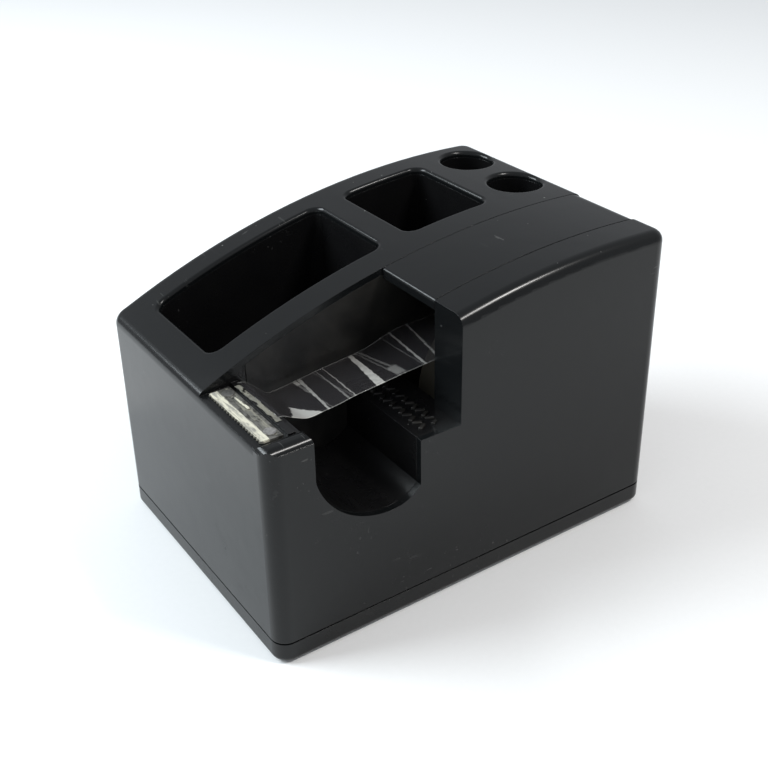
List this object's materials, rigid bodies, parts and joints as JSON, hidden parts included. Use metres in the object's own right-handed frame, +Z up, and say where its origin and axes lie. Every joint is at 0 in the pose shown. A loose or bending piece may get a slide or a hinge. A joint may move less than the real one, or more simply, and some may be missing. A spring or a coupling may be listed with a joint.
{
  "type": "tape dispenser organizer",
  "caption": "Black desk organizer with a tape dispenser: arched top, side notch, hinged roll lid, toothed cutter, open trays, pen holes and a slide-out drawer.",
  "frame": {"origin": "on the table, under the middle of the footprint", "axes": "+Z up, +Y from the cutter end to the pen holes, +X from the trays to the tape side"},
  "size_m": [0.1064, 0.15, 0.1056],
  "materials": {
    "gloss_black": "gloss",
    "matte_black": "satin",
    "steel": "worn",
    "zinc_screw": "zinc plated",
    "tape_film": "clear film",
    "tape_film_roll": "wound clear film",
    "core_card": "pressed card",
    "ballast": "rough cast",
    "rubber": "matt"
  },
  "bodies": {
    "body": {"housing": "gloss_black", "front_tray": "gloss_black", "rear_tray": "gloss_black", "pen_tube_left": "gloss_black", "pen_tube_right": "gloss_black", "divider_panel": "gloss_black", "trough_panel": "gloss_black", "roll_bay": "gloss_black", "cradle_left": "gloss_black", "cradle_right": "gloss_black", "cutter_block": "gloss_black", "cutter_blade": "steel", "blade_pins": "steel", "tape_strip": "tape_film", "base_plate": "gloss_black", "ballast_weight": "ballast", "ballast_screws": "zinc_screw", "base_screws": "zinc_screw", "foot_fl": "rubber", "foot_bl": "rubber", "foot_fr": "rubber", "foot_br": "rubber", "rail_front": "matte_black", "rail_rear": "matte_black", "hinge_pin": "steel"},
    "lid": {"tape_lid": "gloss_black"},
    "spool": {"tape_roll": "tape_film_roll", "roll_core": "core_card", "roll_hub": "matte_black", "hub_axle": "matte_black"},
    "drawer": {"drawer_tray": "matte_black", "drawer_face": "gloss_black", "drawer_screws": "zinc_screw"}
  },
  "joints": [
    {"name": "lid_hinge", "type": "hinge", "parent": "body", "child": "lid", "pos_m": [0.02565, 0.0698, 0.09992], "axis": [-1, 0, 0], "range_deg": [0, 105]},
    {"name": "spool_spin", "type": "hinge", "parent": "body", "child": "spool", "pos_m": [0.02565, 0.033, 0.05], "axis": [1, 0, 0], "continuous": true},
    {"name": "drawer_slide", "type": "slide", "parent": "body", "child": "drawer", "axis": [-1, 0, 0], "range_m": [0, 0.042]}
  ]
}
